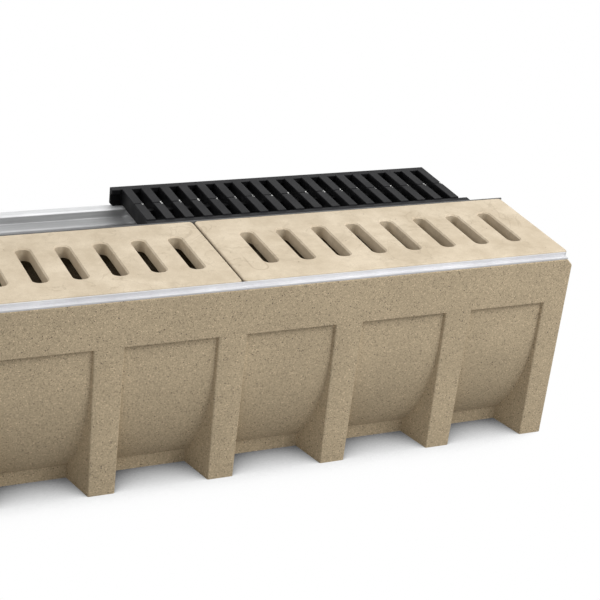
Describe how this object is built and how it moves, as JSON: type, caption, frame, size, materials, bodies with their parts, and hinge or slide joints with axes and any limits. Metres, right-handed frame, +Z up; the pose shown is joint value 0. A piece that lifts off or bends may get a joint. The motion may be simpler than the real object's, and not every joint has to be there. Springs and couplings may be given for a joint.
{
  "type": "channel drain",
  "caption": "Ribbed polymer-concrete channel drain with slotted stone covers in steel edge rails, and a galvanised gutter with a black cast-iron bar grating along its back.",
  "frame": {"origin": "on the ground, under the middle of the channel's length and width", "axes": "+X along the channel, +Y from the ribbed front wall to the gutter at the back, +Z up"},
  "size_m": [1, 0.338, 0.286],
  "materials": {
    "polymer_concrete": "matte",
    "cover_stone": "matte",
    "galvanised_steel": "satin",
    "black_iron": "satin"
  },
  "bodies": {
    "root": {"channel_body": "polymer_concrete", "front_rail": "galvanised_steel", "centre_rail": "galvanised_steel", "cover_slab_left": "cover_stone", "cover_slab_right": "cover_stone", "gutter": "galvanised_steel", "gutter_end_plate": "galvanised_steel", "iron_grating": "black_iron"}
  },
  "joints": []
}
